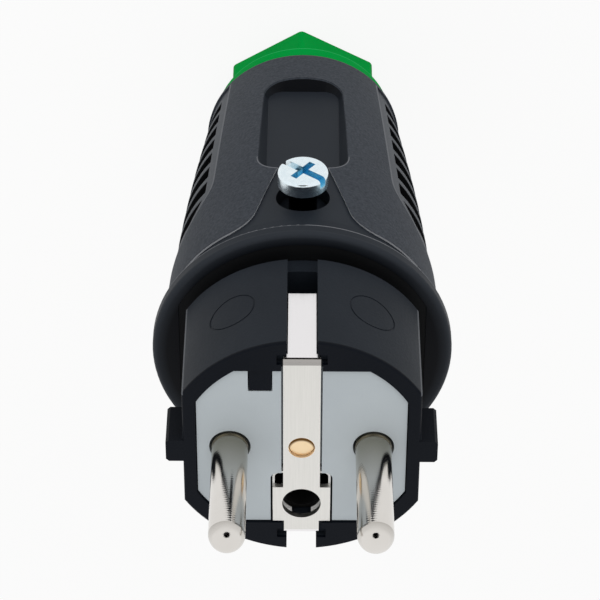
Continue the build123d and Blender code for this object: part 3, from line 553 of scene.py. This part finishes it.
# Wire guards: thin leaves of bright rolled spring steel, one between each clamp screw and its wire.
# Each lies loose in its pillar's wire hole. The steel is a cool silver with a faint mottle.
leaf_pitch = 0.0006
leaf_sheen, leaf_dull = 0.26, 0.38
guard_steel, tree, shader = start_material("bright_spring_steel", Metallic=1.0)
coords = add_node(tree, "ShaderNodeTexCoord", out="Object")
rolled = add_node(tree, "ShaderNodeTexNoise", {"Scale": 1 / leaf_pitch, "Detail": 2.0}, {"Vector": coords})
steel = add_node(
    tree, "ShaderNodeMix", {6: linear("#bcbec0"), 7: linear("#cbcdcf")}, {0: rolled}, out=2, data_type="RGBA"
)
satin = add_node(tree, "ShaderNodeMapRange", {3: leaf_sheen, 4: leaf_dull}, {0: rolled})
connect(tree, shader, Base_Color=steel, Roughness=satin)
dress(guard_steel, "left_wire_guard", "right_wire_guard", "earth_wire_guard")

# Screws: zinc-plated steel with a blue passive film. The body screw is loose and its head stands
# proud. The film pools in the head's recess and looks blue there, and the thread under the head is
# painted dark as shade. The clamp screws in the pillars are plated alike, and the same painted shade
# darkens their halves on the body screw's side.
screw_height = 0.0516
head_face = 0.0230
film_x, film_z, film_radius, film_fade = -0.0007, 0.0005, 0.0021, 0.0030
film_start, film_full = 0.0003, 0.0009
head_back, thread_dark = 0.0208, 0.0200
plating_pitch, plating_depth = 0.0007, 0.000006
zinc_sheen, zinc_dull = 0.12, 0.26

# Zinc with blue passivate: a cool bright silver with a fine crystalline mottle.
screw_zinc, tree, shader = start_material("zinc_plated_steel_blue_passivate", Metallic=1.0)
coords = add_node(tree, "ShaderNodeTexCoord", out="Object")
y = add_node(tree, "ShaderNodeSeparateXYZ", links={0: coords}, out="Y")
from_axis = add_node(
    tree,
    "ShaderNodeMapping",
    {"Location": (-film_x, 0, -screw_height - film_z), "Scale": (1, 0, 1)},
    {"Vector": coords},
)
radius = add_node(tree, "ShaderNodeVectorMath", links={0: from_axis}, out=1, operation="LENGTH")
inside = add_node(tree, "ShaderNodeMapRange", {1: film_fade, 2: film_radius}, {0: radius})
film_depth = add_node(
    tree, "ShaderNodeMapRange", {1: film_start - head_face, 2: film_full - head_face}, {0: y}
)
film = add_node(tree, "ShaderNodeMath", links={0: inside, 1: film_depth}, operation="MULTIPLY")
mottle = add_node(tree, "ShaderNodeTexNoise", {"Scale": 1 / plating_pitch, "Detail": 3.0}, {"Vector": coords})
zinc = add_node(
    tree, "ShaderNodeMix", {6: linear("#d6e6ee"), 7: linear("#f2fafd")}, {0: mottle}, out=2, data_type="RGBA"
)
tinted = add_node(
    tree, "ShaderNodeMix", {7: linear("#90cfe8")}, {0: film, 6: zinc}, out=2, data_type="RGBA"
)
# Painted shade: the shank under the head is dark.
along = add_node(tree, "ShaderNodeMapRange", {1: -head_back, 2: -thread_dark}, {0: y})
screw_side = add_node(tree, "ShaderNodeMath", {1: 0.0}, {0: y}, operation="LESS_THAN")
shank_shade = add_node(tree, "ShaderNodeMath", links={0: along, 1: screw_side}, operation="MULTIPLY")
shank_shaded = add_node(
    tree, "ShaderNodeMix", {7: linear("#15171a")}, {0: shank_shade, 6: tinted}, out=2, data_type="RGBA"
)
bright = add_node(tree, "ShaderNodeMapRange", {3: zinc_sheen, 4: zinc_dull}, {0: mottle})
relief = add_node(tree, "ShaderNodeBump", {"Strength": 0.6, "Distance": plating_depth}, {"Height": mottle})
connect(tree, shader, Base_Color=shank_shaded, Roughness=bright, Normal=relief)
dress(screw_zinc, "body_screw", "left_terminal_screw", "right_terminal_screw", "earth_terminal_screw")

# Stage: a sheet of pale paper under the plug. It is nearly white to the camera and in reflections,
# and keeps the plug's shadow.
floor_size, floor_white = 4.0, 0.90


def seen_mask(tree):
    """1 for rays from the camera, off shiny surfaces and through clear ones, and 0 for the rest."""
    rays = add_node(tree, "ShaderNodeLightPath").node.outputs
    seen = add_node(
        tree,
        "ShaderNodeMath",
        links={0: rays["Is Camera Ray"], 1: rays["Is Glossy Ray"]},
        operation="MAXIMUM",
    )
    return add_node(
        tree, "ShaderNodeMath", links={0: seen, 1: rays["Is Transmission Ray"]}, operation="MAXIMUM"
    )


bpy.ops.object.select_all(action="DESELECT")
bpy.ops.mesh.primitive_plane_add(size=floor_size, location=(0, 0, 0))
floor = bpy.context.object
floor.name = "pale_floor"
paper, tree, shader = start_material("white_paper", Base_Color=linear("#f4f4f2"), Roughness=0.9)
part_white = add_node(
    tree, "ShaderNodeMath", {1: floor_white}, {0: seen_mask(tree)}, operation="MULTIPLY"
)
white = add_node(tree, "ShaderNodeEmission", {"Color": (1, 1, 1, 1), "Strength": 1.0})
sheet = add_node(tree, "ShaderNodeMixShader", links={0: part_white, 1: shader.outputs[0], 2: white})
tree.links.new(sheet, tree.nodes["Material Output"].inputs["Surface"])
floor.data.materials.append(paper)

# Light: an even white room, a large softbox on the body screw's side and a weaker one over the
# pins. Neither softbox shows as a square in bright metal.
room_level = 0.40
world = bpy.data.worlds.new("white_room")
bpy.context.scene.world = world
world.use_nodes = True
tree = world.node_tree
level = add_node(tree, "ShaderNodeMapRange", {3: room_level, 4: 1.0}, {0: seen_mask(tree)})
room = tree.nodes["Background"]
room.inputs["Color"].default_value = (1, 1, 1, 1)
tree.links.new(level, room.inputs["Strength"])

# Each softbox has a name, a place, a width in metres and a power in watts.
softboxes = (
    ("screw_side_softbox", (-0.08, -0.66, 0.30), 0.80, 2.9),
    ("pin_side_softbox", (0.10, 0.06, 0.78), 0.60, 1.5),
)
target = Vector((0, 0, 0.055))
for name, spot, size, power in softboxes:
    lamp = bpy.data.lights.new(name, "AREA")
    lamp.size = size
    lamp.energy = power
    softbox = bpy.data.objects.new(name, lamp)
    softbox.location = spot
    softbox.visible_glossy = False
    softbox.rotation_euler = (target - Vector(spot)).to_track_quat("-Z", "Y").to_euler()
    bpy.context.scene.collection.objects.link(softbox)

# Dark card: the unlit side of the room, behind the camera. It shows only in bright metal, as the
# dark spots on the pins' tips and the dark front of the screw's head.
card_place, card_radius = Vector((0, -0.29, 0.41)), 0.15
bpy.ops.object.select_all(action="DESELECT")
bpy.ops.mesh.primitive_circle_add(radius=card_radius, fill_type="NGON", location=card_place)
card = bpy.context.object
card.name = "dark_card"
card.rotation_euler = (target - card_place).to_track_quat("-Z", "Y").to_euler()
card.visible_camera = False
card.visible_diffuse = False
card.visible_transmission = False
card.visible_shadow = False
velvet = start_material(
    "black_velvet", Base_Color=linear("#020202"), Roughness=1.0, Specular_IOR_Level=0.0
)[0]
card.data.materials.append(velvet)

# Camera: over the pins on the body screw's side, turned so that the gland nut is at the top of the
# picture, with a long lens.
view_place = (0, -0.238547, 0.348906)
view_tilt, view_roll = -math.asin(0.6252), math.radians(0.28)
view = bpy.data.cameras.new("front_view")
view.sensor_width = 36.0
view.lens = 162.0
view.shift_x = -0.004
camera = bpy.data.objects.new("front_view", view)
camera.location = view_place
camera.rotation_euler = (view_tilt, 0, math.pi)
camera.rotation_euler.rotate_axis("Z", view_roll)
bpy.context.scene.collection.objects.link(camera)
bpy.context.scene.camera = camera
bpy.context.scene.view_settings.view_transform = "Standard"
